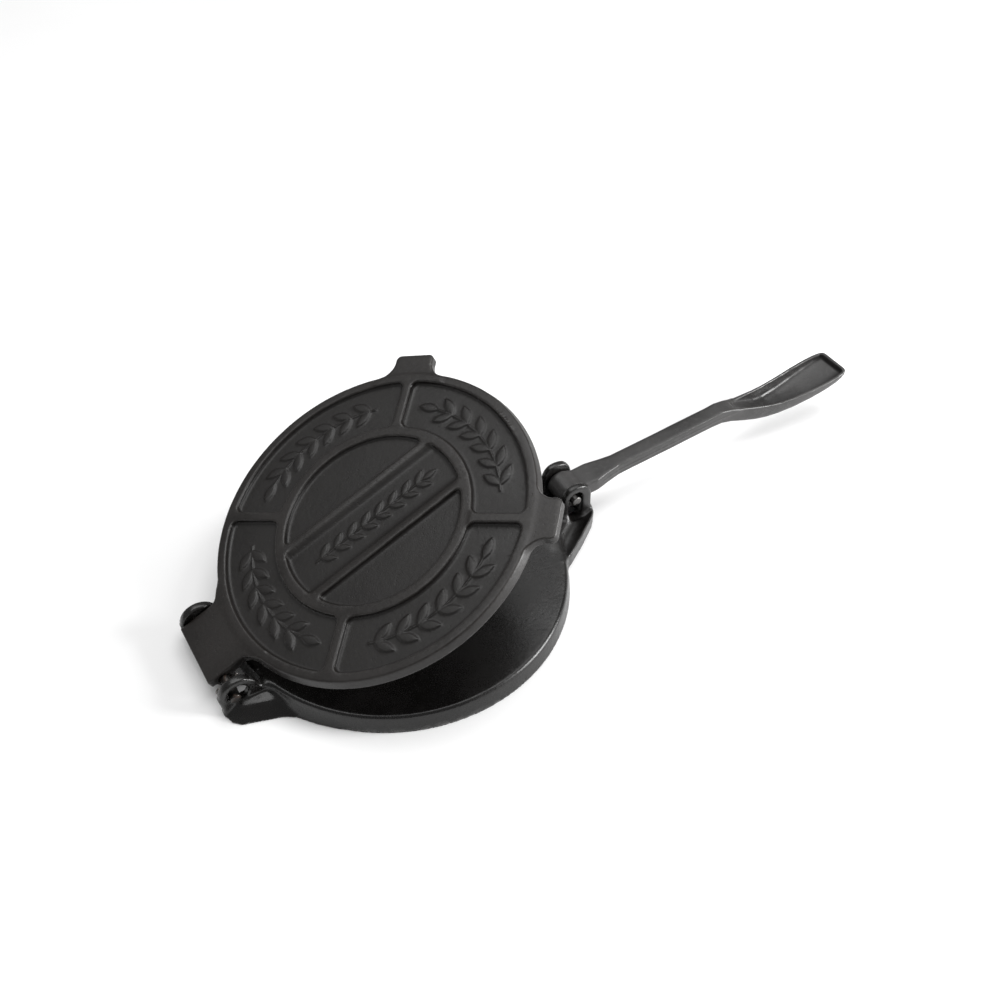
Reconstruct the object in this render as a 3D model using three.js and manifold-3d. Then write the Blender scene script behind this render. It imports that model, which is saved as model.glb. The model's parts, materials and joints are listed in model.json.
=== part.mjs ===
// Cast-iron patty press: round base, hinged top plate and a swing-over lever.
// Millimetres, +Z up. The origin is the centre of the base's underside.
// +X points from the rear hinge to the lever's pivot, and Y is the hinge direction.

import * as THREE from 'three';
import { mergeVertices } from 'three/addons/utils/BufferGeometryUtils.js';
import Module from 'manifold-3d';

const wasm = await Module();
wasm.setup();

// ---------------------------------------------------------------- driving dimensions

const DEG = Math.PI / 180;
const ROUND_STEPS = 96;         // facets round the two discs
const GAP = 0.3;                // clearance between pieces that touch
const PAST = 1;                 // cutters reach this far past the face they cut

// base
const BASE_TOP = 12;            // height of the pressing face
const BASE_RADIUS = 102.5;      // where the rounding of the top edge starts
const BASE_EDGE = 2;            // radius of that rounding
const BASE_FOOT_RADIUS = 104.5; // at the table
const SKIRT = 8;                // width of the ring that stands on the table
const WEB_UNDER = 6.5;          // depth of the underside pockets
const UNDER_RIBS = 6;
const UNDER_RIB_HALF = 3;
const UNDER_BOSS = 22;          // radius of the flat pad in the middle of the underside

// top plate, described as it lies closed on the base
const PRESS_GAP = 1;            // what stays between the two pressing faces
const PLATE_THICK = 6;
const PLATE_RADIUS = 97;        // at the top edge
const PLATE_FACE_RADIUS = 99;   // at the pressing face, the sides are drafted
const PLATE_OPEN = 23.9;        // degrees the plate stands open at rest
const POCKET_DEPTH = 2.9;
const RIM_INNER = 92;
const RING_OUTER = 59.6;
const RING_INNER = 54;
const RIB_HALF = 2.7;
const BAR_OUTER = 21.5;         // the two bars across the ring, measured from the middle
const BAR_INNER = 14;
const TAB_REACH = 111;          // radius of the outer edge of the two finger tabs
const TAB_HALF = 12.4;
const TAB_CORNER = 3.5;

// rear hinge; its ears stand a little to one side of the disc's middle
const HINGE_X = -114.8;
const HINGE_Z = 13.4;
const HINGE_MIDDLE = -4.7;      // y midway between the two ears
const ROD_RADIUS = 3;
const ROD_NEAR = -38.6;
const ROD_FAR = 31.4;
const HINGE_EDGE = -123.2;      // outer edge of the plate's hinge tab
const HINGE_TAB_NEAR = -22.5;
const HINGE_TAB_FAR = 21;
const KNUCKLE_RADIUS = 5.6;
const KNUCKLE_DROP = 1.5;       // the barrel's middle lies this far below the rod
const KNUCKLE_HEEL = 9;         // from the rod to where the knuckle runs into the plate
const REAR_EAR_INNER = 26.5;    // both measured from the hinge's middle
const REAR_EAR_OUTER = 31.6;
const REAR_EAR_X = -112;
const REAR_EAR_Z = 13.2;
const REAR_EAR_RADIUS = 11.2;
const REAR_EAR_LUG = 9;         // height where the ear runs into the disc
const REAR_EAR_INSIDE = -92;    // x of the ear's end inside the disc
const REAR_EYE_X = -112.6;      // the near eye is cast oversize, so the rod lies loose in it
const REAR_EYE_Z = 14;
const REAR_EYE_RADIUS = 5.8;
const REAR_ARM_TOP = 7;
const SNUG = 0.6;               // clearance round the rod and the pin in the two far eyes

// front pivot; the lever and its two ears stand a little to one side as well
const PIVOT_X = 119.8;
const PIVOT_Z = 20.8;
const PIVOT_MIDDLE = -1.2;
const PIN_RADIUS = 3.2;
const FRONT_EAR_INNER = 9.1;    // both measured from the pivot's middle
const FRONT_EAR_OUTER = 13.7;
const FRONT_EAR_TOP = 33.8;
const FRONT_EAR_BACK = 108.2;   // x of the ears' foot on the disc's side
const FRONT_EAR_SHOULDER = 24;  // height where the rounded top starts
const FRONT_ARM_TOP = 11.6;
const SLOT_X = 118.4;           // the near eye at this end is an upright slot
const SLOT_HALF = 4.8;
const SLOT_LOW = 9;
const SLOT_HIGH = 28.8;
const LEDGE_TOP = 15.8;         // the lever rests on a ledge between the front ears
const LEDGE_BACK = 127.7;
const FRONT_EDGE = 131.2;       // the foot of the front ears, arms and ledge
const LEDGE_HALF = 11;

// lever, described along its shank: u runs out from the pivot, w is up
const LEVER_TILT = 4.8;         // degrees the shank rises at rest
const SHANK_HALF_WIDTH = 5.4;
const HUB_RADIUS = 8.5;
const HUB_HALF = 8.6;
const BELLY = 0.75;             // how much of the section's depth is rounded

// ---------------------------------------------------------------- solids

function solid(geometry) {
  const bare = geometry.index ? geometry.toNonIndexed() : geometry.clone();
  bare.deleteAttribute('normal');
  bare.deleteAttribute('uv');
  const merged = mergeVertices(bare, 1e-4);
  const mesh = new wasm.Mesh({
    numProp: 3,
    vertProperties: new Float32Array(merged.attributes.position.array),
    triVerts: new Uint32Array(merged.index.array),
  });
  return new wasm.Manifold(mesh);
}

function geometryOf(body) {
  const mesh = body.getMesh();
  const geometry = new THREE.BufferGeometry();
  geometry.setAttribute('position', new THREE.BufferAttribute(mesh.vertProperties, 3));
  geometry.setIndex(new THREE.BufferAttribute(mesh.triVerts, 1));
  return geometry;
}

function joined(parts) {
  return parts.reduce((whole, part) => whole.add(part));
}

// An outline in plan, raised from one height to another.
function prism(shape, low, high, curveSegments = 8) {
  const settings = { depth: high - low, bevelEnabled: false, curveSegments };
  return new THREE.ExtrudeGeometry(shape, settings).translate(0, 0, low);
}

// An outline in the XZ plane, running from one y to another.
function slabAcross(shape, nearY, farY, curveSegments = 10) {
  const settings = { depth: farY - nearY, bevelEnabled: false, curveSegments };
  const geometry = new THREE.ExtrudeGeometry(shape, settings);
  return geometry.rotateX(Math.PI / 2).translate(0, farY, 0);
}

function box(lowX, highX, lowY, highY, lowZ, highZ) {
  const geometry = new THREE.BoxGeometry(highX - lowX, highY - lowY, highZ - lowZ);
  return geometry.translate((lowX + highX) / 2, (lowY + highY) / 2, (lowZ + highZ) / 2);
}

function cylinderAcross(radius, nearY, farY, x, z, sides = 32) {
  const geometry = new THREE.CylinderGeometry(radius, radius, farY - nearY, sides);
  return geometry.translate(x, (nearY + farY) / 2, z);
}

function alongX(radius, lowX, highX, sides) {
  const geometry = new THREE.CylinderGeometry(radius, radius, highX - lowX, sides);
  return geometry.rotateZ(Math.PI / 2).translate((lowX + highX) / 2, 0, 0);
}

// A turned piece about the Z axis, from [radius, height] pairs that start and end on the axis.
function turned(profile, steps = ROUND_STEPS) {
  return new THREE.LatheGeometry(profile.map(([r, z]) => new THREE.Vector2(r, z)), steps)
    .rotateX(Math.PI / 2);
}

// A turned piece about a line along Y. The pairs are [radius, y].
function turnedAcross(profile, x, z, steps = 32) {
  return new THREE.LatheGeometry(profile.map(([r, y]) => new THREE.Vector2(r, y)), steps)
    .translate(x, 0, z);
}

// A closed skin through rings of points, one ring for each station.
function loft(rings) {
  const count = rings[0].length;
  const positions = rings.flat().flatMap((p) => [p.x, p.y, p.z]);
  const index = [];
  for (let r = 0; r < rings.length - 1; r += 1) {
    for (let i = 0; i < count; i += 1) {
      const a = r * count + i;
      const b = r * count + ((i + 1) % count);
      index.push(a, b, b + count, a, b + count, a + count);
    }
  }
  const last = (rings.length - 1) * count;
  for (let i = 1; i < count - 1; i += 1) {
    index.push(0, i + 1, i);
    index.push(last, last + i, last + i + 1);
  }
  const geometry = new THREE.BufferGeometry();
  geometry.setAttribute('position', new THREE.Float32BufferAttribute(positions, 3));
  geometry.setIndex(index);
  return geometry;
}

// The mirror image of an outline, across the line at that y.
function mirrored(points, middle) {
  return points.map(([x, y]) => [x, 2 * middle - y]).reverse();
}

// The two spans of y between an inner and an outer distance from a middle line.
function bothSides(middle, inner, outer) {
  return [[middle - outer, middle - inner], [middle + inner, middle + outer]];
}

function outline(points) {
  return new THREE.Shape(points.map(([x, y]) => new THREE.Vector2(x, y)));
}

function arcPoints(cx, cy, radius, from, to, steps) {
  const points = [];
  for (let i = 0; i <= steps; i += 1) {
    const angle = (from + ((to - from) * i) / steps) * DEG;
    points.push([cx + radius * Math.cos(angle), cy + radius * Math.sin(angle)]);
  }
  return points;
}

// The area between two radii and two radial ribs of the given half width.
function sectorPocket(inner, outer, from, to, ribHalf, steps) {
  const insideTurn = Math.asin(ribHalf / inner) / DEG;
  const outsideTurn = Math.asin(ribHalf / outer) / DEG;
  return outline([
    ...arcPoints(0, 0, outer, from + outsideTurn, to - outsideTurn, steps),
    ...arcPoints(0, 0, inner, to - insideTurn, from + insideTurn, steps),
  ]);
}

// ---------------------------------------------------------------- base casting

function slotPath() {
  const slot = new THREE.Path();
  slot.absarc(SLOT_X, SLOT_HIGH - SLOT_HALF, SLOT_HALF, 0, Math.PI, false);
  slot.absarc(SLOT_X, SLOT_LOW + SLOT_HALF, SLOT_HALF, Math.PI, 2 * Math.PI, false);
  return slot;
}

function roundPath(x, z, radius) {
  const eye = new THREE.Path();
  eye.absarc(x, z, radius, 0, 2 * Math.PI, false);
  return eye;
}

function frontEar(eye) {
  const shape = new THREE.Shape();
  const taper = 1.2;
  shape.moveTo(FRONT_EAR_BACK, 0);
  shape.lineTo(FRONT_EAR_BACK + taper, FRONT_EAR_SHOULDER);
  shape.quadraticCurveTo(FRONT_EAR_BACK + 2 * taper, FRONT_EAR_TOP, SLOT_X, FRONT_EAR_TOP);
  shape.quadraticCurveTo(
    FRONT_EDGE - 2 * taper, FRONT_EAR_TOP, FRONT_EDGE - taper, FRONT_EAR_SHOULDER,
  );
  shape.lineTo(FRONT_EDGE, 0);
  shape.closePath();
  shape.holes.push(eye);
  return shape;
}

function rearEar(eye) {
  const shape = new THREE.Shape();
  shape.moveTo(REAR_EAR_X - REAR_EAR_RADIUS + 1, 0);
  shape.lineTo(REAR_EAR_X - REAR_EAR_RADIUS, REAR_EAR_Z);
  shape.absarc(REAR_EAR_X, REAR_EAR_Z, REAR_EAR_RADIUS, Math.PI, 0, true);
  shape.lineTo(REAR_EAR_INSIDE, REAR_EAR_LUG);
  shape.lineTo(REAR_EAR_INSIDE, 0);
  shape.closePath();
  shape.holes.push(eye);
  return shape;
}

// Outlines in plan of the near one of each pair of arms; the far ones are their mirror images.
const FRONT_ARM = [
  [95, -10.3], [95, -43], [99, -40.6], [127, -21.4], [130.6, -17.6], [131.2, -10.3],
];
const REAR_ARM = [
  [-122.2, -31.2], [-122.6, -37], [-121.2, -42.6], [-117, -46.6], [-97, -53], [-89.2, -57],
  [-81.6, -65.6], [-72, -73], [-66, -70], [-92, -31.2],
];

function makeBase() {
  const disc = solid(turned([
    [0, 0], [BASE_FOOT_RADIUS, 0],
    ...arcPoints(BASE_RADIUS - BASE_EDGE, BASE_TOP - BASE_EDGE, BASE_EDGE, 0, 90, 3),
    [0, BASE_TOP],
  ]));
  const parts = [disc];
  for (const arm of [FRONT_ARM, mirrored(FRONT_ARM, PIVOT_MIDDLE)]) {
    parts.push(solid(prism(outline(arm), 0, FRONT_ARM_TOP)));
  }
  for (const arm of [REAR_ARM, mirrored(REAR_ARM, HINGE_MIDDLE)]) {
    parts.push(solid(prism(outline(arm), 0, REAR_ARM_TOP)));
  }
  const front = bothSides(PIVOT_MIDDLE, FRONT_EAR_INNER, FRONT_EAR_OUTER);
  const frontEyes = [slotPath(), roundPath(PIVOT_X, PIVOT_Z, PIN_RADIUS + SNUG)];
  front.forEach((span, i) => parts.push(solid(slabAcross(frontEar(frontEyes[i]), ...span))));
  const rear = bothSides(HINGE_MIDDLE, REAR_EAR_INNER, REAR_EAR_OUTER);
  const rearEyes = [
    roundPath(REAR_EYE_X, REAR_EYE_Z, REAR_EYE_RADIUS),
    roundPath(HINGE_X, HINGE_Z, ROD_RADIUS + SNUG),
  ];
  rear.forEach((span, i) => parts.push(solid(slabAcross(rearEar(rearEyes[i]), ...span))));
  parts.push(solid(box(
    LEDGE_BACK, FRONT_EDGE, PIVOT_MIDDLE - LEDGE_HALF, PIVOT_MIDDLE + LEDGE_HALF, 0, LEDGE_TOP,
  )));

  let base = joined(parts);
  const turn = 360 / UNDER_RIBS;
  for (let i = 0; i < UNDER_RIBS; i += 1) {
    const pocket = sectorPocket(
      UNDER_BOSS, BASE_FOOT_RADIUS - SKIRT, i * turn, (i + 1) * turn, UNDER_RIB_HALF, 12,
    );
    base = base.subtract(solid(prism(pocket, -PAST, BASE_TOP - WEB_UNDER)));
  }
  return base;
}

// ---------------------------------------------------------------- top plate casting

function fingerTab() {
  const corner = TAB_CORNER;
  return outline([
    [PLATE_RADIUS - 12, -TAB_HALF - 5.5], [PLATE_RADIUS - 2, -TAB_HALF - 5.2],
    [PLATE_RADIUS + 2.4, -TAB_HALF - 2.8], [PLATE_RADIUS + 6, -TAB_HALF],
    ...arcPoints(TAB_REACH - corner, -TAB_HALF + corner, corner, -90, 0, 4),
    ...arcPoints(TAB_REACH - corner, TAB_HALF - corner, corner, 0, 90, 4),
    [PLATE_RADIUS + 6, TAB_HALF], [PLATE_RADIUS + 2.4, TAB_HALF + 2.8],
    [PLATE_RADIUS - 2, TAB_HALF + 5.2], [PLATE_RADIUS - 12, TAB_HALF + 5.5],
  ]);
}

const PLATE_FACE = BASE_TOP + PRESS_GAP;
const PLATE_TOP = PLATE_FACE + PLATE_THICK;

function hingeTab() {
  const corner = 1.2;
  const back = HINGE_EDGE + corner;
  return outline([
    [-84, HINGE_TAB_NEAR - 8], [-93, HINGE_TAB_NEAR - 7], [-97, HINGE_TAB_NEAR - 2],
    [-100, HINGE_TAB_NEAR],
    ...arcPoints(back, HINGE_TAB_NEAR + corner, corner, 270, 180, 2),
    ...arcPoints(back, HINGE_TAB_FAR - corner, corner, 180, 90, 2),
    [-100, HINGE_TAB_FAR], [-98, HINGE_TAB_FAR + 2], [-95, HINGE_TAB_FAR + 7],
    [-91.5, HINGE_TAB_FAR + 12], [-84, HINGE_TAB_FAR + 14],
  ].reverse());
}

// The bearing under the hinge tab that the rod passes through.
function knuckle() {
  const shape = new THREE.Shape();
  const middle = HINGE_Z - KNUCKLE_DROP;
  shape.moveTo(HINGE_X + KNUCKLE_HEEL, PLATE_TOP - 1);
  shape.lineTo(HINGE_X + KNUCKLE_HEEL, PLATE_FACE);
  shape.lineTo(HINGE_X + KNUCKLE_RADIUS, middle);
  shape.absarc(HINGE_X, middle, KNUCKLE_RADIUS, 0, -Math.PI, true);
  shape.lineTo(HINGE_X - KNUCKLE_RADIUS, PLATE_TOP - 1);
  shape.closePath();
  return shape;
}

function centrePockets() {
  const steps = 14;
  const far = Math.asin(BAR_OUTER / RING_INNER) / DEG;
  const middle = Math.asin(BAR_INNER / RING_INNER) / DEG;
  return [
    outline(arcPoints(0, 0, RING_INNER, far, 180 - far, steps)),
    outline(arcPoints(0, 0, RING_INNER, 180 + far, 360 - far, steps)),
    outline([
      ...arcPoints(0, 0, RING_INNER, -middle, middle, 6),
      ...arcPoints(0, 0, RING_INNER, 180 - middle, 180 + middle, 6),
    ]),
  ];
}

function makePlate() {
  let plate = solid(turned([
    [0, PLATE_FACE], [PLATE_FACE_RADIUS, PLATE_FACE],
    [PLATE_RADIUS, PLATE_TOP], [0, PLATE_TOP],
  ]));
  for (const angle of [-45, 45]) {
    const tab = prism(fingerTab(), PLATE_FACE, PLATE_TOP).rotateZ(angle * DEG);
    plate = plate.add(solid(tab));
  }
  plate = plate.add(solid(prism(hingeTab(), PLATE_FACE, PLATE_TOP)));
  plate = plate.add(solid(slabAcross(knuckle(), HINGE_TAB_NEAR, HINGE_TAB_FAR)));

  const floor = PLATE_TOP - POCKET_DEPTH;
  for (let i = 0; i < 4; i += 1) {
    const from = 45 + 90 * i;
    const pocket = sectorPocket(RING_OUTER, RIM_INNER, from, from + 90, RIB_HALF, 18);
    plate = plate.subtract(solid(prism(pocket, floor, PLATE_TOP + PAST)));
  }
  for (const pocket of centrePockets()) {
    plate = plate.subtract(solid(prism(pocket, floor, PLATE_TOP + PAST)));
  }
  const bore = cylinderAcross(
    ROD_RADIUS + GAP, HINGE_TAB_NEAR - PAST, HINGE_TAB_FAR + PAST, HINGE_X, HINGE_Z,
  );
  return plate.subtract(solid(bore));
}

// ---------------------------------------------------------------- lever casting

// A superellipse's lower half under straight sides and a flat top.
function leverRing(u, top, bottom, half, squareness) {
  const steps = 12;
  const points = [];
  const belly = (top - bottom) * BELLY;
  for (let i = 0; i <= steps; i += 1) {
    const angle = Math.PI + (Math.PI * i) / steps;
    const across = Math.sign(Math.cos(angle)) * Math.abs(Math.cos(angle)) ** (2 / squareness);
    const down = Math.abs(Math.sin(angle)) ** (2 / squareness);
    points.push(new THREE.Vector3(u, half * across, bottom + belly - belly * down));
  }
  points.push(new THREE.Vector3(u, half, top), new THREE.Vector3(u, -half, top));
  return points;
}

// Stations along the lever: u, top, bottom, half width, squareness of the lower half.
const LEVER_STATIONS = [
  [4, 4.9, -4.9, HUB_HALF, 12],
  [19, 4.9, -4.9, HUB_HALF, 12],
  [28, 4.8, -4.8, 6.8, 12],
  [37, 4.7, -4.7, SHANK_HALF_WIDTH, 12],
  [112, 4.7, -4.7, SHANK_HALF_WIDTH, 12],
  [120, 5.2, -5.4, 5.5, 9],
  [128, 3.2, -8, 5.9, 7],
  [138, -0.6, -12.4, 6.8, 6],
  [148, -3.4, -16, 8.4, 5],
  [157, -5.6, -18.4, 9.7, 4],
  [166, -7.1, -19.6, 11, 3.5],
  [178, -7.7, -19.6, 12.3, 3.2],
  [192, -7.9, -18.6, 13.5, 3],
  [206, -7.9, -16.8, 14, 3],
  [215, -7.8, -15, 13.6, 3],
  [220, -7.7, -13.7, 12.4, 3],
  [222.6, -7.6, -12.8, 10.8, 3],
  [223.6, -7.6, -12.2, 9, 3],
];

const TROUGH_STATIONS = [
  [131, 6, 0.9, 2.6, 4],
  [138, 4, -2.6, 3.8, 4],
  [148, 1, -8.6, 5.4, 3.5],
  [157, -1, -13, 6.7, 3.2],
  [166, -3, -15.6, 8, 3],
  [178, -4, -16.2, 9.3, 3],
  [192, -4, -15.4, 10.5, 3],
  [206, -4, -13.8, 11, 3],
  [214, -4, -12.2, 10.4, 3],
  [219.6, -4, -10.8, 8.2, 3],
];

function makeLever() {
  const bar = solid(loft(LEVER_STATIONS.map((station) => leverRing(...station))));
  const trough = solid(loft(TROUGH_STATIONS.map((station) => leverRing(...station))));
  const hub = solid(cylinderAcross(HUB_RADIUS, -HUB_HALF, HUB_HALF, 0, 0, 40));
  const reach = HUB_HALF + PAST;
  const bore = solid(cylinderAcross(PIN_RADIUS + GAP, -reach, reach, 0, 0));
  return bar.subtract(trough).add(hub).subtract(bore);
}

// ---------------------------------------------------------------- pins and fasteners

const CHAMFER = 0.8;            // at the ends of the rod and the pin
const PIN_SUNK = 0.5;           // the pin's ends lie this far inside the ears' outer faces
const SPLIT_WIRE = 0.8;
const SPLIT_EYE = 1.9;          // radius of the split pins' eyes, to the middle of the wire
const SPLIT_SHANK = 0.9;
const SPLIT_HOLE = 1.25;
const SPLIT_TAIL = 4.2;         // length of the bent tails
const SPLIT_SPREAD = 38;        // degrees each tail is bent away from the shank
const SPLIT_PLACES = { near: -27.2, far: 29 };

// A round bar along Y with chamfered ends.
function roundBar(radius, near, far) {
  return solid(turnedAcross([
    [0, near], [radius - CHAMFER, near], [radius, near + CHAMFER],
    [radius, far - CHAMFER], [radius - CHAMFER, far], [0, far],
  ], 0, 0));
}

function makeHingeRod(splitPlaces) {
  let rod = roundBar(ROD_RADIUS, ROD_NEAR, ROD_FAR);
  for (const y of splitPlaces) {
    const hole = alongX(SPLIT_HOLE, -ROD_RADIUS - PAST, ROD_RADIUS + PAST, 16);
    rod = rod.subtract(solid(hole.translate(0, y, 0)));
  }
  return rod;
}

// A split pin along X: a round eye outside the rod, a doubled shank and two bent tails.
function makeSplitPin() {
  const eye = new THREE.TorusGeometry(SPLIT_EYE, SPLIT_WIRE, 8, 20);
  eye.rotateX(Math.PI / 2).translate(-ROD_RADIUS - SPLIT_EYE - 0.7, 0, 0);
  const shank = alongX(SPLIT_SHANK, -ROD_RADIUS - 1.2, ROD_RADIUS + 1.8, 12);
  const parts = [solid(eye), solid(shank)];
  for (const side of [-1, 1]) {
    const tail = new THREE.CapsuleGeometry(SPLIT_WIRE - 0.2, SPLIT_TAIL, 3, 10);
    tail.rotateZ(Math.PI / 2).translate(SPLIT_TAIL / 2, 0, 0);
    tail.rotateY(side * SPLIT_SPREAD * DEG).translate(ROD_RADIUS + 1.2, 0, side * -0.2);
    parts.push(solid(tail));
  }
  return joined(parts);
}

// The pin goes through the lever's hub, and its ends turn in the eyes of the front ears.
function makePivotPin() {
  const end = FRONT_EAR_OUTER - PIN_SUNK;
  return roundBar(PIN_RADIUS, -end, end);
}

// ---------------------------------------------------------------- assembly

function material(colour, roughness, metalness) {
  return new THREE.MeshStandardMaterial({ color: colour, roughness, metalness });
}

const press = new THREE.Group();

function place(parent, name, body, finish) {
  const mesh = new THREE.Mesh(geometryOf(body), finish);
  mesh.name = name;
  parent.add(mesh);
  return mesh;
}

// The plate, the rod and the split pins turn about the rod, so they share one turned group.
const hinge = new THREE.Group();
hinge.position.set(HINGE_X, 0, HINGE_Z);
hinge.rotation.y = -PLATE_OPEN * DEG;
const lever = new THREE.Group();
lever.position.set(PIVOT_X, PIVOT_MIDDLE, PIVOT_Z);
lever.rotation.y = -LEVER_TILT * DEG;
press.add(hinge, lever);

place(press, 'base_casting', makeBase(), material(0x1c1b1a, 0.45, 0.3));
const plateMesh = place(hinge, 'top_plate', makePlate(), material(0x242322, 0.55, 0.3));
plateMesh.position.set(-HINGE_X, 0, -HINGE_Z);
place(hinge, 'hinge_rod', makeHingeRod(Object.values(SPLIT_PLACES)), material(0x3f3d3c, 0.35, 0.9));
for (const [end, y] of Object.entries(SPLIT_PLACES)) {
  const pin = place(hinge, `hinge_split_pin_${end}`, makeSplitPin(), material(0x6f6d6b, 0.35, 0.9));
  pin.position.y = y;
}
place(lever, 'press_lever', makeLever(), material(0x201f1e, 0.5, 0.3));
place(lever, 'pivot_pin', makePivotPin(), material(0x817f7e, 0.3, 0.9));

export default press;
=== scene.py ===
import json
import math

import bpy
import numpy as np
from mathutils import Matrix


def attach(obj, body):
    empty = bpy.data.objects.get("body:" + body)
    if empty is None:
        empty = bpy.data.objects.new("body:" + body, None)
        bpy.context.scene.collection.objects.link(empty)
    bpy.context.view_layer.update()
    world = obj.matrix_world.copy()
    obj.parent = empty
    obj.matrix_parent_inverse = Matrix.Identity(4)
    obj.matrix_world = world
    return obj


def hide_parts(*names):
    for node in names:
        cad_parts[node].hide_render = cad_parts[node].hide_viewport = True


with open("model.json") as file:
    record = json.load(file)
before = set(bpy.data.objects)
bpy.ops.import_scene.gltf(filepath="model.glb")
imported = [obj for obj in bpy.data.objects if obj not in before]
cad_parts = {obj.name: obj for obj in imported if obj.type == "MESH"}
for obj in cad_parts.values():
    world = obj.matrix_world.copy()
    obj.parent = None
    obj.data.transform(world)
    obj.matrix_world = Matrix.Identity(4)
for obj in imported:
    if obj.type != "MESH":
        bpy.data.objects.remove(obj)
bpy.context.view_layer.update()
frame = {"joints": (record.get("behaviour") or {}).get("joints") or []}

import openvdb as vdb
from mathutils import Matrix, Vector

# Cast-iron patty press. Shapes are worked out in millimetres and skinned in metres.
# +X runs from the rear hinge to the lever's pivot, Y along the hinge, Z up.

MM = 0.001
JOINTS = {joint["name"]: joint for joint in frame["joints"]}
HINGE = Vector(JOINTS["plate_lift"]["pos_m"]) / MM
PIVOT = Vector(JOINTS["lever_swing"]["pos_m"]) / MM
PLATE_OPEN = -JOINTS["hinge_rod_turn"]["range_deg"][0]
LEVER_TILT = 4.8                # degrees the shank rises at rest


# ---------------------------------------------------------------- sizes

# base
BASE_TOP = 12.0
BASE_RADIUS = 102.2
FOOT_RADIUS = 104.3
BASE_EDGE = 2.0
SKIRT = 8.0
WEB_UNDER = 5.5
UNDER_BOSS = 22.0
UNDER_RIB_HALF = 3.0

# front ears and arms, measured across from the pivot's middle
PIVOT_MIDDLE = -1.2
FRONT_EAR = (9.1, 13.7)
FRONT_EAR_FEET, FRONT_EAR_SHOULDER, FRONT_EAR_TOP = (108.2, 131.1), 24.0, 33.8
FRONT_ARM_TOP = 11.8
FRONT_ARM = [
    (90, -9.1), (90, -43), (99, -39.6), (113, -30.6), (127, -20.4), (130.4, -16.6), (131, -9.1),
]
SLOT_X, SLOT_HALF, SLOT_LOW, SLOT_HIGH = 118.4, 4.8, 7.4, 28.8
COVE, COVE_Z, COVE_RADIUS = ((84, 42.3), (127.5, 12.4)), 15.4, 6.9
SNUG_EYE = 3.7                  # the far ears fit closely round the pin and the rod
LEDGE_X, LEDGE_HALF, LEDGE_TOP = (127.7, 131.1), 11.0, 15.6

# rear ears and arms, measured across from the hinge's middle
HINGE_MIDDLE = -4.7
REAR_EAR = (26.5, 31.6)
REAR_EAR_CENTRE, REAR_EAR_RADIUS = (-112, 13.2), 11.1
REAR_EYE, REAR_EYE_RADIUS = (-112.6, 14), 5.8
REAR_ARM_TOP, REAR_ARM_SLOPE = 7.4, 1.25
REAR_ARM = [
    (-122.4, -12), (-122.8, -32.3), (-121.2, -37.9), (-117, -41.9), (-97, -48.3),
    (-89.2, -52.3), (-81.6, -60.9), (-72, -68.3), (-56, -60), (-76, -12),
]

# plate, as it lies closed
PLATE_FACE, PLATE_TOP = 13.0, 19.0
PLATE_RADIUS, PLATE_FACE_RADIUS = 97.0, 98.9
PLATE_EDGE = 0.9
POCKET_DEPTH, WALL_DRAFT, FLOOR_FILLET = 2.95, 0.16, 1.4
RIM_INNER, RING_OUTER, RING_INNER, RIB_HALF = 91.6, 59.8, 53.8, 2.7
BAR_OUTER, BAR_CREST, BAR_FOOT = 21.4, 18.6, 12.4
TAB_REACH, TAB_HALF, TAB_CORNER = 111, 12.4, 3.5
HINGE_TAB = [
    (-80, 32), (-91.5, 32), (-95, 28), (-98, 23), (-100.5, 20.9), (-123.1, 20.9),
    (-123.1, -22.4), (-100, -22.4), (-97, -24.5), (-93, -29.5), (-80, -30.5),
]
HINGE_TAB_ENDS = (-22.4, 20.9)
KNUCKLE_RADIUS, KNUCKLE_Z = 5.5, 11.9
ROD_RADIUS = 3.0
BORE_RADIUS = 3.4

# lever: distance out from the pivot, top, bottom, half width and squareness of the section
LEVER_END = 223.4
LEVER_STATIONS = np.array([
    [4, 4.9, -4.9, 8.6, 12], [19, 4.9, -4.9, 8.6, 12], [28, 4.8, -4.8, 6.8, 12],
    [37, 4.7, -4.7, 5.4, 12], [112, 4.7, -4.7, 5.4, 12], [120, 5.2, -5.4, 5.5, 9],
    [128, 3.2, -8, 5.9, 7], [138, -0.6, -12.4, 6.8, 6], [148, -3.4, -16, 8.4, 5],
    [157, -5.6, -18.4, 9.7, 4], [166, -7.1, -19.6, 11, 3.5], [178, -7.7, -19.6, 12.3, 3.2],
    [192, -7.4, -18.4, 13.5, 3], [206, -6.6, -16.2, 14, 3], [213, -6.1, -14.5, 13.8, 3.2],
    [218, -5.7, -13.2, 13.2, 3.2], [221, -5.5, -12.4, 12.4, 3.2], [LEVER_END, -5.4, -11.6, 11, 3.2],
])
TROUGH_STATIONS = np.array([
    [131, 6, 0.9, 2.6, 4], [138, 4, -3, 4.4, 4], [148, 1, -9, 6.2, 4],
    [157, -1, -13.6, 7.6, 4], [166, -3, -16.2, 9, 4.2], [178, -4, -16.6, 10.2, 4.2],
    [192, -4, -15.6, 11.4, 4.2], [206, -4, -13.2, 11.9, 4.2], [214, -3, -11.4, 11.6, 4.2],
    [220.6, -3, -9.8, 10.4, 4.2],
])
HUB_RADIUS, HUB_HALF = 8.4, 8.5
PIN_RADIUS, PIN_HALF = 3.2, 13.1

# rod and split pins
ROD_ENDS = (-38.5, 31.3)
SPLIT_PLACES = {"near": -27.2, "far": 29.0}
SPLIT_EYE, SPLIT_WIRE = 1.9, 0.75

RELIEF = 0.95                   # how far the cast sprigs stand up from the pocket floors
LEAF_TURN = 38                  # degrees a leaf leans out from its stem

# distance between sample points, finer on the smaller pieces
BASE_PITCH, PLATE_PITCH, LEVER_PITCH = 0.6, 0.5, 0.42
ROD_PITCH, PIN_PITCH, SPLIT_PITCH = 0.25, 0.2, 0.13


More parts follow.
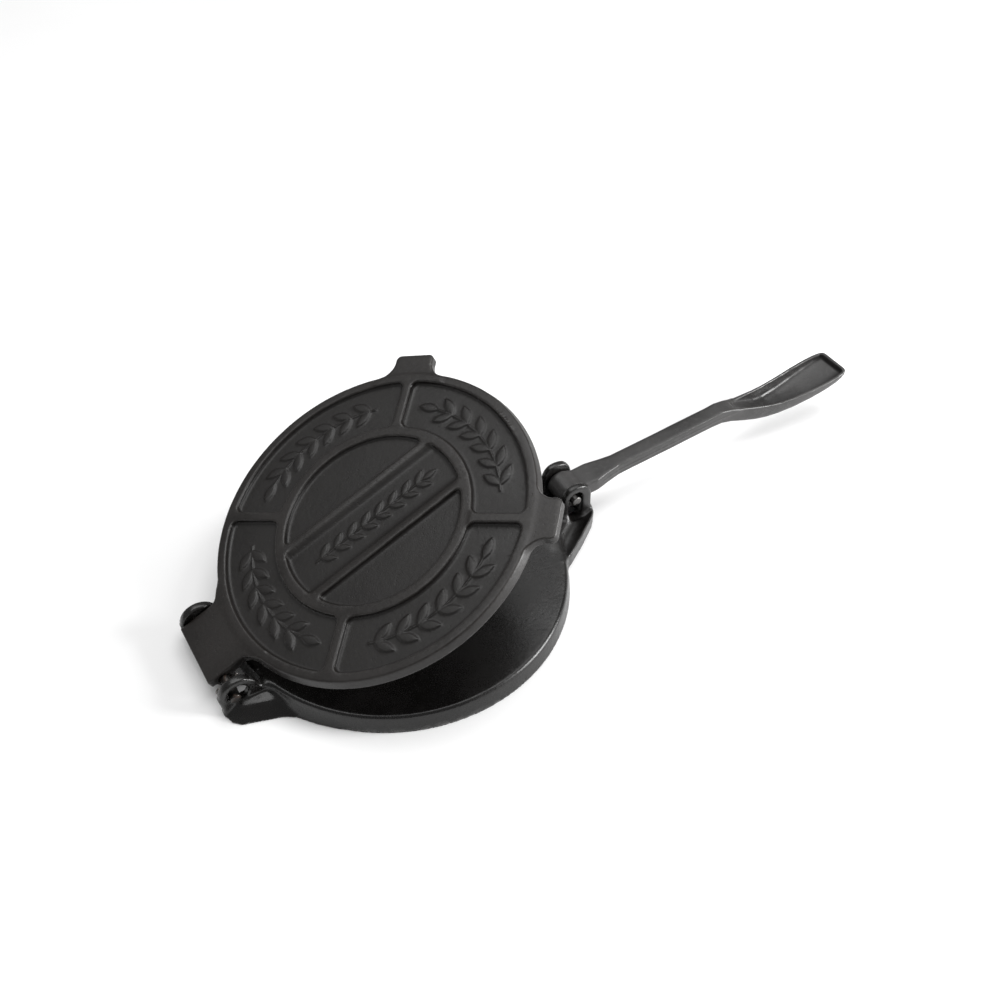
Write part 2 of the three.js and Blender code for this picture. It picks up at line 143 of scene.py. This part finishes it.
# ---------------------------------------------------------------- looks

# the dark and the light tone of each casting, then its roughness and its grain in metres
BASE_IRON = (0.0035, 0.0032, 0.003, 1), (0.006, 0.0055, 0.0052, 1), 0.27, 0.0001
PLATE_IRON = (0.0078, 0.0062, 0.0054, 1), (0.0120, 0.0098, 0.0088, 1), 0.38, 0.00012
LEVER_IRON = (0.020, 0.0192, 0.0188, 1), (0.032, 0.0308, 0.0302, 1), 0.36, 0.00012

# the tone of each kind of steel, its roughness and how rusty it is
ROD_STEEL = (0.055, 0.052, 0.05, 1), 0.34, 0.35
SPLIT_STEEL = (0.16, 0.155, 0.15, 1), 0.32, 0.2
PIVOT_STEEL = (0.22, 0.215, 0.21, 1), 0.30, 0.2

# paler tone of the edges: partly real wear, partly a painted edge highlight
WORN_EDGE_HIGHLIGHT_TONE = (0.07, 0.068, 0.066, 1)
# painted shade: the near-black put into concave creases
CREASE_SHADE_TONE = (0.001, 0.001, 0.001, 1)
# painted shade: the dark tone put into the plate's pockets
POCKET_SHADE_TONE = (0.003, 0.0022, 0.0018, 1)
RUST_TONE = (0.09, 0.045, 0.025, 1)
BLACK, WHITE = (0, 0, 0, 1), (1, 1, 1, 1)
IRON_IOR, COAT_WEIGHT, COAT_ROUGHNESS = 1.45, 0.08, 0.24
POCKET_SHADE_DEPTHS = (0.0016, 0.0004)  # metres under the plate's top where the painted pocket shade is full and where it has faded out
SCRATCH_DEPTH, BLOTCH_DEPTH = 0.00004, 0.00008

FLOOR_SIZE = 14
WORLD_STRENGTH = 0.30
CAMERA_LENS, CAMERA_SENSOR = 39.6, 36
CAMERA_PLACE = (-0.1721, -0.3951, 0.5072)
CAMERA_RIGHT, CAMERA_UP = (0.8559, -0.5171, 0.0102), (0.3627, 0.6141, 0.7009)


# ---------------------------------------------------------------- shapes as distance fields


class Block:
    """Sample points that fill a box, with the distance between them."""

    def __init__(self, low, high, pitch):
        self.low = np.array(low, np.float32)
        self.pitch = pitch
        spans = [np.arange(a, b + pitch, pitch, dtype=np.float32) for a, b in zip(low, high)]
        self.x = spans[0][:, None, None]
        self.y = spans[1][None, :, None]
        self.z = spans[2][None, None, :]


def rounded(a, b, radius):
    """Where two shapes overlap, with the edge between them rounded."""
    a = a + radius
    b = b + radius
    outside = np.hypot(np.maximum(a, 0), np.maximum(b, 0))
    return np.minimum(np.maximum(a, b), 0) + outside - radius


def merged(a, b, fillet):
    """Two shapes joined, with a fillet between them."""
    h = np.clip(0.5 + 0.5 * (b - a) / fillet, 0, 1)
    return b + (a - b) * h - fillet * h * (1 - h)


def carved(a, b, fillet):
    """The first shape with the second cut out of it."""
    return -merged(-a, b, fillet)


def outlined(points, x, y):
    """Distance to an outline in a plane, negative inside it."""
    shape = np.broadcast(x, y).shape
    inside = np.zeros(shape, bool)
    nearest = np.full(shape, np.inf, np.float32)
    for (ax, ay), (bx, by) in zip(points, points[1:] + points[:1]):
        ex, ey = bx - ax, by - ay
        wx, wy = x - ax, y - ay
        along = np.clip((wx * ex + wy * ey) / (ex * ex + ey * ey), 0, 1)
        nearest = np.minimum(nearest, (wx - along * ex) ** 2 + (wy - along * ey) ** 2)
        if ey:
            inside ^= ((ay > y) != (by > y)) & (wx < ex * wy / ey)
    return np.where(inside, -1, 1) * np.sqrt(nearest)


def slab(shape, low, high, across, edge):
    """A flat shape given a thickness, with rounded edges."""
    return rounded(shape, np.abs(across - (low + high) / 2) - (high - low) / 2, edge)


def smoothstep(value):
    value = np.clip(value, 0, 1)
    return value * value * (3 - 2 * value)


def uneven(block, size):
    """The slight waviness of a sand casting."""
    x, y, z = block.x, block.y, block.z
    wave = np.sin(x / 9.1 + 1.3 * np.sin(y / 13.7)) * np.sin(y / 7.9 + 0.8 * np.sin(z / 5.3))
    return size * (wave + 0.5 * np.sin(x / 3.7 + y / 5.1) * np.sin(z / 3.1 + y / 4.3))


def bend(start, middle, end, steps):
    """Points along a quadratic curve."""
    return [
        tuple((1 - t) ** 2 * a + 2 * t * (1 - t) * b + t * t * c
              for a, b, c in zip(start, middle, end))
        for t in (i / steps for i in range(steps + 1))
    ]


def skin(name, field, block, place):
    """A closed mesh over a field's zero surface, put in its place in the press."""
    grid = vdb.FloatGrid()
    grid.copyFromArray(np.ascontiguousarray(field, dtype=np.float32))
    points, triangles, quads = grid.convertToPolygons(isovalue=0.0, adaptivity=0.02)
    points = (points * block.pitch + block.low) * MM
    loops = np.concatenate([triangles.ravel(), quads.ravel()]).astype(np.int32)
    sizes = np.concatenate([np.full(len(triangles), 3), np.full(len(quads), 4)])
    starts = (np.cumsum(sizes) - sizes).astype(np.int32)
    mesh = bpy.data.meshes.new(name)
    mesh.vertices.add(len(points))
    mesh.vertices.foreach_set("co", points.astype(np.float32).ravel())
    mesh.loops.add(len(loops))
    mesh.loops.foreach_set("vertex_index", loops)
    mesh.polygons.add(len(sizes))
    mesh.polygons.foreach_set("loop_start", starts)
    mesh.update(calc_edges=True)
    mesh.validate()
    corners = points[quads[:, :3]] if len(quads) else points[triangles]
    volume = np.einsum("ij,ij->i", corners[:, 0], np.cross(corners[:, 1], corners[:, 2])).sum()
    if volume < 0:
        mesh.flip_normals()
    mesh.transform(place)
    mesh.shade_smooth()
    thing = bpy.data.objects.new(name, mesh)
    bpy.context.scene.collection.objects.link(thing)
    return thing


def turned_about(centre, degrees):
    """A turn about a line along Y, opening upwards for positive degrees."""
    centre = Vector(centre) * MM
    turn = Matrix.Rotation(math.radians(-degrees), 4, "Y")
    return Matrix.Translation(centre) @ turn @ Matrix.Translation(-centre)


# ---------------------------------------------------------------- base casting


def base_disc(b):
    slope = (FOOT_RADIUS - BASE_RADIUS) / BASE_TOP
    wall = (np.hypot(b.x, b.y) - FOOT_RADIUS + slope * b.z) / math.hypot(1, slope)
    return rounded(wall, b.z - BASE_TOP, BASE_EDGE)


def cove(b, across):
    """The hollow that runs down each front arm, just inside its outer crest."""
    (ax, ay), (bx, by) = COVE
    ex, ey = bx - ax, by - ay
    along = np.clip(((b.x - ax) * ex + (across - ay) * ey) / (ex * ex + ey * ey), 0, 1)
    aside = np.hypot(b.x - ax - along * ex, across - ay - along * ey)
    return np.hypot(aside, b.z - COVE_Z) - COVE_RADIUS


def front_ears(b, across):
    back, front = FRONT_EAR_FEET
    crown = (SLOT_X, FRONT_EAR_TOP)
    left, right = (back + 1.2, FRONT_EAR_SHOULDER), (front - 1.2, FRONT_EAR_SHOULDER)
    profile = [(back, -2)] + bend(left, (back + 2.4, FRONT_EAR_TOP), crown, 8)
    profile += bend(crown, (front - 2.4, FRONT_EAR_TOP), right, 8)[1:] + [(front, -2)]
    ears = slab(outlined(profile, b.x, b.z), *FRONT_EAR, across, 1.4)
    arms = slab(outlined(FRONT_ARM, b.x, -across), -4, FRONT_ARM_TOP, b.z, 1.4)
    arms = carved(arms, cove(b, across), 1.2)
    ears = merged(ears, arms, 4.5)
    upright = np.clip(b.z, SLOT_LOW + SLOT_HALF, SLOT_HIGH - SLOT_HALF)
    slot = np.hypot(b.x - SLOT_X, b.z - upright) - SLOT_HALF
    slot = np.maximum(slot, across - FRONT_EAR[1] - 2.5)
    snug = np.hypot(b.x - PIVOT.x, b.z - PIVOT.z) - SNUG_EYE
    return np.where(b.y < PIVOT_MIDDLE, carved(ears, slot, 1.5), carved(ears, snug, 0.8))


def ledge(b, across):
    low, high = LEDGE_X
    wide = rounded(np.abs(b.x - (low + high) / 2) - (high - low) / 2, b.z - LEDGE_TOP, 0.9)
    return np.maximum(wide, across - LEDGE_HALF)


def rear_ears(b, across):
    flat = np.hypot(b.x - REAR_EAR_CENTRE[0], b.z - REAR_EAR_CENTRE[1]) - REAR_EAR_RADIUS
    left = REAR_EAR_CENTRE[0] - REAR_EAR_RADIUS
    lug = [(left + 1, -2), (left, 13.2), (-101, 13.2), (-92, 9), (-92, -2)]
    flat = merged(flat, outlined(lug, b.x, b.z), 2)
    ears = slab(flat, *REAR_EAR, across, 1.5)
    foot = outlined(REAR_ARM, b.x, -across) + REAR_ARM_SLOPE * b.z
    foot = rounded(foot / math.hypot(1, REAR_ARM_SLOPE), b.z - REAR_ARM_TOP, 1.6)
    foot = np.maximum(foot, REAR_EAR[0] - across)
    ears = merged(ears, foot, 2.5)
    loose = np.hypot(b.x - REAR_EYE[0], b.z - REAR_EYE[1]) - REAR_EYE_RADIUS
    snug = np.hypot(b.x - HINGE.x, b.z - HINGE.z) - SNUG_EYE
    return np.where(b.y < HINGE_MIDDLE, carved(ears, loose, 1.8), carved(ears, snug, 0.8))


def under_pockets(b):
    radius = np.hypot(b.x, b.y)
    angle = np.mod(np.arctan2(b.y, b.x), math.pi / 3) - math.pi / 6
    to_rib = radius * np.sin(math.pi / 6 - np.abs(angle))
    wide = rounded(radius - FOOT_RADIUS + SKIRT, UNDER_BOSS - radius, 3)
    return rounded(rounded(wide, UNDER_RIB_HALF - to_rib, 4) + 0.2 * b.z, b.z - WEB_UNDER, 1.5)


def make_base():
    b = Block((-126, -107, -1.8), (133.2, 107, 36), BASE_PITCH)
    front = np.abs(b.y - PIVOT_MIDDLE)
    rear = np.abs(b.y - HINGE_MIDDLE)
    field = merged(base_disc(b), front_ears(b, front), 3)
    field = merged(field, ledge(b, front), 1.5)
    field = merged(field, rear_ears(b, rear), 4)
    field = carved(field, under_pockets(b), 1.2) + uneven(b, 0.05)
    field = np.maximum(field, -b.z)
    return skin("cast_base", field, b, Matrix.Identity(4))


# ---------------------------------------------------------------- plate casting


def finger_tab(b, angle):
    c, s = math.cos(math.radians(angle)), math.sin(math.radians(angle))
    out, across = b.x * c + b.y * s, np.abs(b.y * c - b.x * s)
    flare = bend((94, 20.5), (98.6, 13.2), (104.5, TAB_HALF), 6)
    sides = [(60, -20), (60, 27), (86, 25)] + flare + [(130, TAB_HALF), (130, -20)]
    flat = rounded(outlined(sides, out, across), out - TAB_REACH, TAB_CORNER)
    return slab(flat, PLATE_FACE, PLATE_TOP, b.z, 1.1)


def hinge_tab(b):
    tab = slab(outlined(HINGE_TAB, b.x, b.y), PLATE_FACE, PLATE_TOP, b.z, 1.1)
    barrel = np.hypot(b.x - HINGE.x, b.z - KNUCKLE_Z) - KNUCKLE_RADIUS
    heel = [
        (HINGE.x - KNUCKLE_RADIUS, 17.5), (HINGE.x - KNUCKLE_RADIUS, KNUCKLE_Z),
        (HINGE.x + KNUCKLE_RADIUS, KNUCKLE_Z), (HINGE.x + 9, 13.2), (HINGE.x + 9, 17.5),
    ]
    barrel = np.minimum(barrel, outlined(heel, b.x, b.z))
    low, high = HINGE_TAB_ENDS
    return merged(tab, slab(barrel, low, high, b.y, 1.0), 1.2)


def leaf(s, t, length, width):
    """How high a leaf stands: steep at its outline, with a soft ridge along its middle."""
    outline = np.abs(t) - width / 2 * (1 - (2 * s / length) ** 2)
    blade = -outline / (width / 2)
    return np.clip(blade * 2.2, 0, 0.75) + np.clip(blade, 0, 1) * 0.25


def sprig(s, t, reach, step, length, width):
    """How high a cast sprig of leaves stands along a line, from nothing to one."""
    stem = np.maximum(np.abs(t) - 0.9, np.abs(s) - reach)
    height = smoothstep(-stem / 0.8) * 0.8
    turn = math.radians(LEAF_TURN)
    out = length * 0.46
    for place in np.arange(-reach + 4, reach - length / 2, step):
        for side in (-1, 1):
            ds, dt = s - place - out * math.cos(turn), side * t - out * math.sin(turn)
            along = ds * math.cos(turn) + dt * math.sin(turn)
            across = dt * math.cos(turn) - ds * math.sin(turn)
            height = np.maximum(height, leaf(along, across, length, width))
    return np.maximum(height, leaf(s - reach, t, length, width))


def pocket_floor(b):
    """The floor of the pockets, with the cast sprigs standing on it."""
    radius = np.hypot(b.x, b.y)
    quarter = np.mod(np.arctan2(b.y, b.x) + math.pi / 4, math.pi / 2) - math.pi / 4
    middle = (RIM_INNER + RING_OUTER) / 2
    round_sprig = sprig(quarter * middle, radius - middle, 42, 12.5, 14.5, 6.4)
    straight_sprig = sprig(b.x, b.y, 40, 9.5, 11, 4.6)
    relief = np.where(radius > RING_OUTER, round_sprig, 0)
    relief = np.maximum(relief, np.where(radius < RING_INNER, straight_sprig, 0))
    bars = smoothstep((np.abs(b.y) - BAR_FOOT) / (BAR_CREST - BAR_FOOT))
    bars = np.where((radius < RING_OUTER) & (np.abs(b.y) < BAR_OUTER - 1), bars, 0)
    return PLATE_TOP - POCKET_DEPTH + RELIEF * relief + POCKET_DEPTH * bars


def pockets(b):
    radius = np.hypot(b.x, b.y)
    angle = np.mod(np.arctan2(b.y, b.x), math.pi / 2) - math.pi / 4
    to_rib = np.abs(radius * np.sin(angle))
    ring = rounded(radius - RIM_INNER, RING_OUTER - radius, 2)
    sectors = rounded(ring, RIB_HALF - to_rib, 4.5)
    centre = radius - RING_INNER
    ends = rounded(centre, BAR_OUTER - np.abs(b.y), 4)
    strip = rounded(centre, np.abs(b.y) - BAR_CREST - 0.6, 4)
    plan = np.minimum(np.minimum(sectors, ends), strip) + WALL_DRAFT * (PLATE_TOP - b.z)
    return rounded(plan, pocket_floor(b) - b.z, FLOOR_FILLET)


def flash(b):
    """A ragged streak of casting flash on the rim's inner edge, midway between the finger tabs."""
    radius = np.hypot(b.x, b.y)
    along = np.arctan2(b.y, b.x) * RIM_INNER
    ragged = 0.6 + 0.4 * np.sin(1.9 * along) * np.sin(0.83 * along + 1)
    streak = np.exp(-((radius - RIM_INNER - 0.6) / 1.1) ** 2 - ((along + 5) / 9) ** 2)
    return 1.3 * ragged * streak * (b.x > 0) * (b.z > PLATE_TOP - POCKET_DEPTH)


def make_plate():
    b = Block((-124.6, -100.6, 4.8), (100.6, 100.6, 20.4), PLATE_PITCH)
    slope = (PLATE_FACE_RADIUS - PLATE_RADIUS) / (PLATE_TOP - PLATE_FACE)
    wall = np.hypot(b.x, b.y) - PLATE_FACE_RADIUS + slope * (b.z - PLATE_FACE)
    field = slab(wall, PLATE_FACE, PLATE_TOP, b.z, PLATE_EDGE)
    for angle in (-45, 45):
        field = merged(field, finger_tab(b, angle), 1.5)
    field = merged(field, hinge_tab(b), 1.5)
    field = carved(field, pockets(b), 0.8)
    bore = np.hypot(b.x - HINGE.x, b.z - HINGE.z) - BORE_RADIUS
    field = carved(field, bore, 0.5) + uneven(b, 0.03) - flash(b)
    return skin("cast_plate", field, b, turned_about(HINGE, PLATE_OPEN))


# ---------------------------------------------------------------- lever casting


def bar_section(b, stations):
    """A bar with a flat top and a rounded belly, following its stations."""
    top, bottom, half, square = (
        np.interp(b.x.ravel(), stations[:, 0], stations[:, i])[:, None, None]
        for i in range(1, 5)
    )
    belly = (top - bottom) * 0.75
    down = np.maximum(bottom + belly - b.z, 0) / belly
    across = (np.abs(b.y / half) ** square + down ** square) ** (1 / square) - 1
    return rounded(across * np.minimum(half, belly), b.z - top, 1.2)


def make_lever():
    b = Block((-10, -15.6, -21.5), (225.2, 15.6, 10), LEVER_PITCH)
    bar = rounded(bar_section(b, LEVER_STATIONS), np.maximum(b.x - LEVER_END, -b.x), 1.5)
    start, end = TROUGH_STATIONS[0, 0], TROUGH_STATIONS[-1, 0]
    ends = np.abs(b.x - (start + end) / 2) - (end - start) / 2
    bar = carved(bar, rounded(bar_section(b, TROUGH_STATIONS), ends, 1.2), 1.2)
    hub = slab(np.hypot(b.x, b.z) - HUB_RADIUS, -HUB_HALF, HUB_HALF, b.y, 1.0)
    field = merged(bar, hub, 3)
    parting = np.exp(-((b.z + 0.2) / 0.5) ** 2) * 0.22 * (b.x > 24)
    field = field - parting + uneven(b, 0.05)
    field = np.maximum(field, PIN_RADIUS + 0.1 - np.hypot(b.x, b.z))
    lift = Matrix.Translation(Vector((PIVOT.x, PIVOT_MIDDLE, PIVOT.z)) * MM)
    tilt = Matrix.Rotation(math.radians(-LEVER_TILT), 4, "Y")
    return skin("cast_lever", field, b, lift @ tilt)


# ---------------------------------------------------------------- steel pieces


def make_rod():
    b = Block((-4, ROD_ENDS[0] - 1, -4), (4, ROD_ENDS[1] + 1, 4), ROD_PITCH)
    field = slab(np.hypot(b.x, b.z) - ROD_RADIUS, *ROD_ENDS, b.y, 0.8)
    for y in SPLIT_PLACES.values():
        field = carved(field, np.hypot(b.y - y, b.z) - 1.2, 0.3)
    place = turned_about(HINGE, PLATE_OPEN) @ Matrix.Translation(HINGE * MM)
    return skin("rod", field, b, place)


def wire(b, points, radius):
    """Round wire through points in the XZ plane."""
    nearest = None
    for (ax, az), (bx, bz) in zip(points, points[1:]):
        ex, ez = bx - ax, bz - az
        along = np.clip(((b.x - ax) * ex + (b.z - az) * ez) / (ex * ex + ez * ez), 0, 1)
        part = (b.x - ax - along * ex) ** 2 + (b.z - az - along * ez) ** 2
        nearest = part if nearest is None else np.minimum(nearest, part)
    return np.sqrt(nearest + b.y ** 2) - radius


def make_split_pin(end, y):
    b = Block((-9, -1.6, -4.4), (9.4, 1.6, 4.4), SPLIT_PITCH)
    centre = -ROD_RADIUS - SPLIT_EYE - 0.7
    field = np.hypot(np.hypot(b.x - centre, b.z) - SPLIT_EYE, b.y) - SPLIT_WIRE
    for side in (-1, 1):
        leg = [(-4, side * 0.42), (4, side * 0.42), (5.4, side * 0.9), (7.6, side * 2.9)]
        half = np.maximum(wire(b, leg, 0.8), 0.06 - side * b.z)
        field = merged(field, half, 0.4)
    shift = Matrix.Translation(Vector((HINGE.x, y, HINGE.z)) * MM)
    return skin(f"split_pin_{end}", field, b, turned_about(HINGE, PLATE_OPEN) @ shift)


def make_pivot_pin():
    b = Block((-4, -14.6, -4), (4, 14.6, 4), PIN_PITCH)
    field = slab(np.hypot(b.x, b.z) - PIN_RADIUS, -PIN_HALF, PIN_HALF, b.y, 0.7)
    shift = Matrix.Translation(Vector((PIVOT.x, PIVOT_MIDDLE, PIVOT.z)) * MM)
    return skin("pin", field, b, shift)


# ---------------------------------------------------------------- materials


class Finish:
    """A material whose nodes are wired by short calls."""

    def __init__(self, name):
        self.material = bpy.data.materials.new(name)
        self.material.use_nodes = True
        self.tree = self.material.node_tree
        self.surface = self.tree.nodes["Principled BSDF"]
        self.place = self.tree.nodes.new("ShaderNodeTexCoord").outputs["Object"]

    def feed(self, socket, value):
        if isinstance(value, bpy.types.NodeSocket):
            self.tree.links.new(value, socket)
        else:
            socket.default_value = value

    def noise(self, scale, detail=3.0, place=None):
        node = self.tree.nodes.new("ShaderNodeTexNoise")
        node.inputs["Scale"].default_value = scale
        node.inputs["Detail"].default_value = detail
        self.feed(node.inputs["Vector"], place or self.place)
        return node.outputs["Fac"]

    def stretched(self, scale):
        node = self.tree.nodes.new("ShaderNodeMapping")
        node.inputs["Scale"].default_value = scale
        self.feed(node.inputs["Vector"], self.place)
        return node.outputs["Vector"]

    def pits(self, scale):
        node = self.tree.nodes.new("ShaderNodeTexVoronoi")
        node.inputs["Scale"].default_value = scale
        self.feed(node.inputs["Vector"], self.place)
        return node.outputs["Distance"]

    def ramp(self, value, low, high, start=0.0, end=1.0):
        node = self.tree.nodes.new("ShaderNodeMapRange")
        node.interpolation_type = "SMOOTHSTEP"
        self.feed(node.inputs["Value"], value)
        for name, number in zip(("From Min", "From Max", "To Min", "To Max"),
                                (low, high, start, end)):
            node.inputs[name].default_value = number
        return node.outputs["Result"]

    def math(self, operation, a, b):
        node = self.tree.nodes.new("ShaderNodeMath")
        node.operation = operation
        self.feed(node.inputs[0], a)
        self.feed(node.inputs[1], b)
        return node.outputs["Value"]

    def mix(self, factor, a, b):
        node = self.tree.nodes.new("ShaderNodeMix")
        node.data_type = "RGBA"
        self.feed(node.inputs["Factor"], factor)
        for name, value in (("A", a), ("B", b)):
            socket = [s for s in node.inputs if s.name == name and s.type == "RGBA"][0]
            self.feed(socket, value)
        return [s for s in node.outputs if s.type == "RGBA"][0]

    def edges(self, low, high, start=0.0, end=1.0):
        pointed = self.tree.nodes.new("ShaderNodeNewGeometry").outputs["Pointiness"]
        return self.ramp(pointed, low, high, start, end)

    def height(self, direction):
        node = self.tree.nodes.new("ShaderNodeVectorMath")
        node.operation = "DOT_PRODUCT"
        self.feed(node.inputs[0], self.place)
        node.inputs[1].default_value = direction
        return node.outputs["Value"]

    def bump(self, height, distance, below=None):
        node = self.tree.nodes.new("ShaderNodeBump")
        node.inputs["Distance"].default_value = distance
        self.feed(node.inputs["Height"], height)
        if below is not None:
            self.feed(node.inputs["Normal"], below)
        return node.outputs["Normal"]


def cast_iron(name, dark, light, gloss, grain, pocket_shade_top=None):
    """Seasoned cast iron: sand grain, small pits, oily patches, paler worn edges that also act as
    painted edge highlights, and painted shade in its creases.

    The last argument, if given, is the direction and level of the plate's top face; the pockets
    below it get painted shade and a rougher finish.
    """
    f = Finish(name)
    fine = f.noise(1500, 3)
    coarse = f.noise(330, 4)
    patches = f.noise(26, 4)
    pitted = f.math("MULTIPLY", f.ramp(f.pits(420), 0.10, 0.30, 1.0, 0.0),
                    f.ramp(f.noise(90, 2), 0.50, 0.62))
    tone = f.mix(f.ramp(patches, 0.36, 0.64), dark, light)
    pale = (*[c * 1.7 for c in light[:3]], 1)
    tone = f.mix(f.math("MULTIPLY", f.ramp(coarse, 0.50, 0.72), 0.35), tone, pale)
    # convex edges made paler: partly real wear, partly a painted highlight
    worn_edge_highlight = f.math("MULTIPLY", f.edges(0.515, 0.56), f.ramp(f.noise(160, 3), 0.38, 0.62))
    tone = f.mix(f.math("MULTIPLY", worn_edge_highlight, 0.6), tone, WORN_EDGE_HIGHLIGHT_TONE)
    # painted shade: concave creases, found by pointiness, darkened almost to black
    tone = f.mix(f.edges(0.44, 0.49, 0.75, 0.0), tone, CREASE_SHADE_TONE)
    rough = f.math("ADD", f.ramp(patches, 0.32, 0.68, gloss - 0.06, gloss + 0.07),
                   f.ramp(fine, 0.3, 0.7, -0.05, 0.07))
    rough = f.math("SUBTRACT", rough, f.math("MULTIPLY", worn_edge_highlight, 0.08))
    height = f.math("ADD", f.math("MULTIPLY", coarse, 0.9), f.math("MULTIPLY", fine, 0.45))
    height = f.math("SUBTRACT", height, f.math("MULTIPLY", pitted, 0.5))
    # painted shade: the pockets below the plate's top face are darkened, and made rougher
    if pocket_shade_top is not None:
        direction, level = pocket_shade_top
        full_shade, no_shade = POCKET_SHADE_DEPTHS
        pocket_shade = f.ramp(f.height(direction), level - full_shade, level - no_shade, 1.0, 0.0)
        tone = f.mix(f.math("MULTIPLY", pocket_shade, 0.55), tone, POCKET_SHADE_TONE)
        rough = f.math("ADD", rough, f.math("MULTIPLY", pocket_shade, 0.07))
    f.feed(f.surface.inputs["Base Color"], tone)
    f.feed(f.surface.inputs["Roughness"], rough)
    f.feed(f.surface.inputs["Normal"], f.bump(height, grain))
    f.surface.inputs["Metallic"].default_value = 0.0
    f.surface.inputs["IOR"].default_value = IRON_IOR
    f.surface.inputs["Coat Weight"].default_value = COAT_WEIGHT
    f.surface.inputs["Coat Roughness"].default_value = COAT_ROUGHNESS
    return f.material


def steel(name, colour, gloss, rust):
    """Drawn steel: fine scratches round the piece, dull patches and a little rust."""
    f = Finish(name)
    scratches = f.noise(60, 4, f.stretched((4, 90, 4)))
    blotches = f.noise(240, 4)
    rusty = f.math("MULTIPLY", f.ramp(f.noise(420, 4), 0.52, 0.66), rust)
    tone = f.mix(f.ramp(blotches, 0.3, 0.7), colour, (*[c * 0.6 for c in colour[:3]], 1))
    tone = f.mix(rusty, tone, RUST_TONE)
    rough = f.math("ADD", f.ramp(blotches, 0.3, 0.7, gloss - 0.06, gloss + 0.12),
                   f.ramp(scratches, 0.3, 0.7, -0.05, 0.08))
    rough = f.math("ADD", rough, f.math("MULTIPLY", rusty, 0.3))
    f.feed(f.surface.inputs["Base Color"], tone)
    f.feed(f.surface.inputs["Roughness"], rough)
    dented = f.bump(blotches, BLOTCH_DEPTH)
    f.feed(f.surface.inputs["Normal"], f.bump(scratches, SCRATCH_DEPTH, dented))
    f.surface.inputs["Metallic"].default_value = 1.0
    return f.material


def plate_top():
    """The direction of the open plate's top face, and its level along that direction."""
    direction = Matrix.Rotation(math.radians(-PLATE_OPEN), 3, "Y") @ Vector((0, 0, 1))
    return direction, (HINGE.dot(direction) + PLATE_TOP - HINGE.z) * MM


def floor_finish():
    f = Finish("floor")
    tone = f.ramp(f.noise(3, 3), 0.3, 0.7, 0.90, 0.93)
    f.feed(f.surface.inputs["Base Color"], f.mix(tone, BLACK, WHITE))
    f.surface.inputs["Roughness"].default_value = 0.9
    f.surface.inputs["Specular IOR Level"].default_value = 0.1
    return f.material


# ---------------------------------------------------------------- assembly


def dress(thing, finish, body, slot, *nodes):
    thing.data.materials.append(finish)
    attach(thing, body)
    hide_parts(*nodes)


def build_press():
    base_iron = cast_iron("base_iron", *BASE_IRON)
    # plate_top() sets where the plate's pockets get painted shade
    plate_iron = cast_iron("plate_iron", *PLATE_IRON, plate_top())
    lever_iron = cast_iron("lever_iron", *LEVER_IRON)
    rod_steel = steel("rod_steel", *ROD_STEEL)
    pin_steel = steel("pin_steel", *SPLIT_STEEL)
    pivot_steel = steel("pivot_steel", *PIVOT_STEEL)
    dress(make_base(), base_iron, "base", "base_iron", "base_casting")
    dress(make_plate(), plate_iron, "top_plate", "plate_iron", "top_plate")
    dress(make_lever(), lever_iron, "lever", "lever_iron", "press_lever")
    dress(make_rod(), rod_steel, "hinge_rod", "rod_steel", "hinge_rod")
    for end, y in SPLIT_PLACES.items():
        node = f"hinge_split_pin_{end}"
        dress(make_split_pin(end, y), pin_steel, "hinge_rod", "pin_steel", node)
    dress(make_pivot_pin(), pivot_steel, "lever", "pivot_steel", "pivot_pin")


# ---------------------------------------------------------------- studio


def build_floor():
    bpy.ops.mesh.primitive_plane_add(size=FLOOR_SIZE)
    floor = bpy.context.object
    floor.name = "floor"
    floor.data.materials.append(floor_finish())


def soft_light(name, place, aim, size, power):
    data = bpy.data.lights.new(name, "AREA")
    data.shape = "RECTANGLE"
    data.size, data.size_y = size
    data.energy = power
    light = bpy.data.objects.new(name, data)
    light.location = place
    light.rotation_mode = "QUATERNION"
    light.rotation_quaternion = (Vector(aim) - Vector(place)).to_track_quat("-Z", "Y")
    bpy.context.scene.collection.objects.link(light)


def build_lights():
    soft_light("top_light", (0.20, 0.45, 2.20), (0.05, 0.05, 0), (2.6, 2.0), 46)
    soft_light("right_light", (1.05, -0.72, 0.42), (0.06, 0, 0.02), (0.5, 0.7), 26)
    world = bpy.data.worlds.new("studio")
    world.use_nodes = True
    sky = world.node_tree.nodes["Background"]
    sky.inputs["Color"].default_value = WHITE
    sky.inputs["Strength"].default_value = WORLD_STRENGTH
    bpy.context.scene.world = world


def build_camera():
    data = bpy.data.cameras.new("camera")
    data.lens = CAMERA_LENS
    data.sensor_width = CAMERA_SENSOR
    camera = bpy.data.objects.new("camera", data)
    right, up = Vector(CAMERA_RIGHT), Vector(CAMERA_UP)
    turn = Matrix((right, up, right.cross(up))).transposed().to_4x4()
    camera.matrix_world = Matrix.Translation(CAMERA_PLACE) @ turn
    bpy.context.scene.collection.objects.link(camera)
    bpy.context.scene.camera = camera


build_press()
build_floor()
build_lights()
build_camera()
bpy.context.scene.view_settings.view_transform = "Standard"
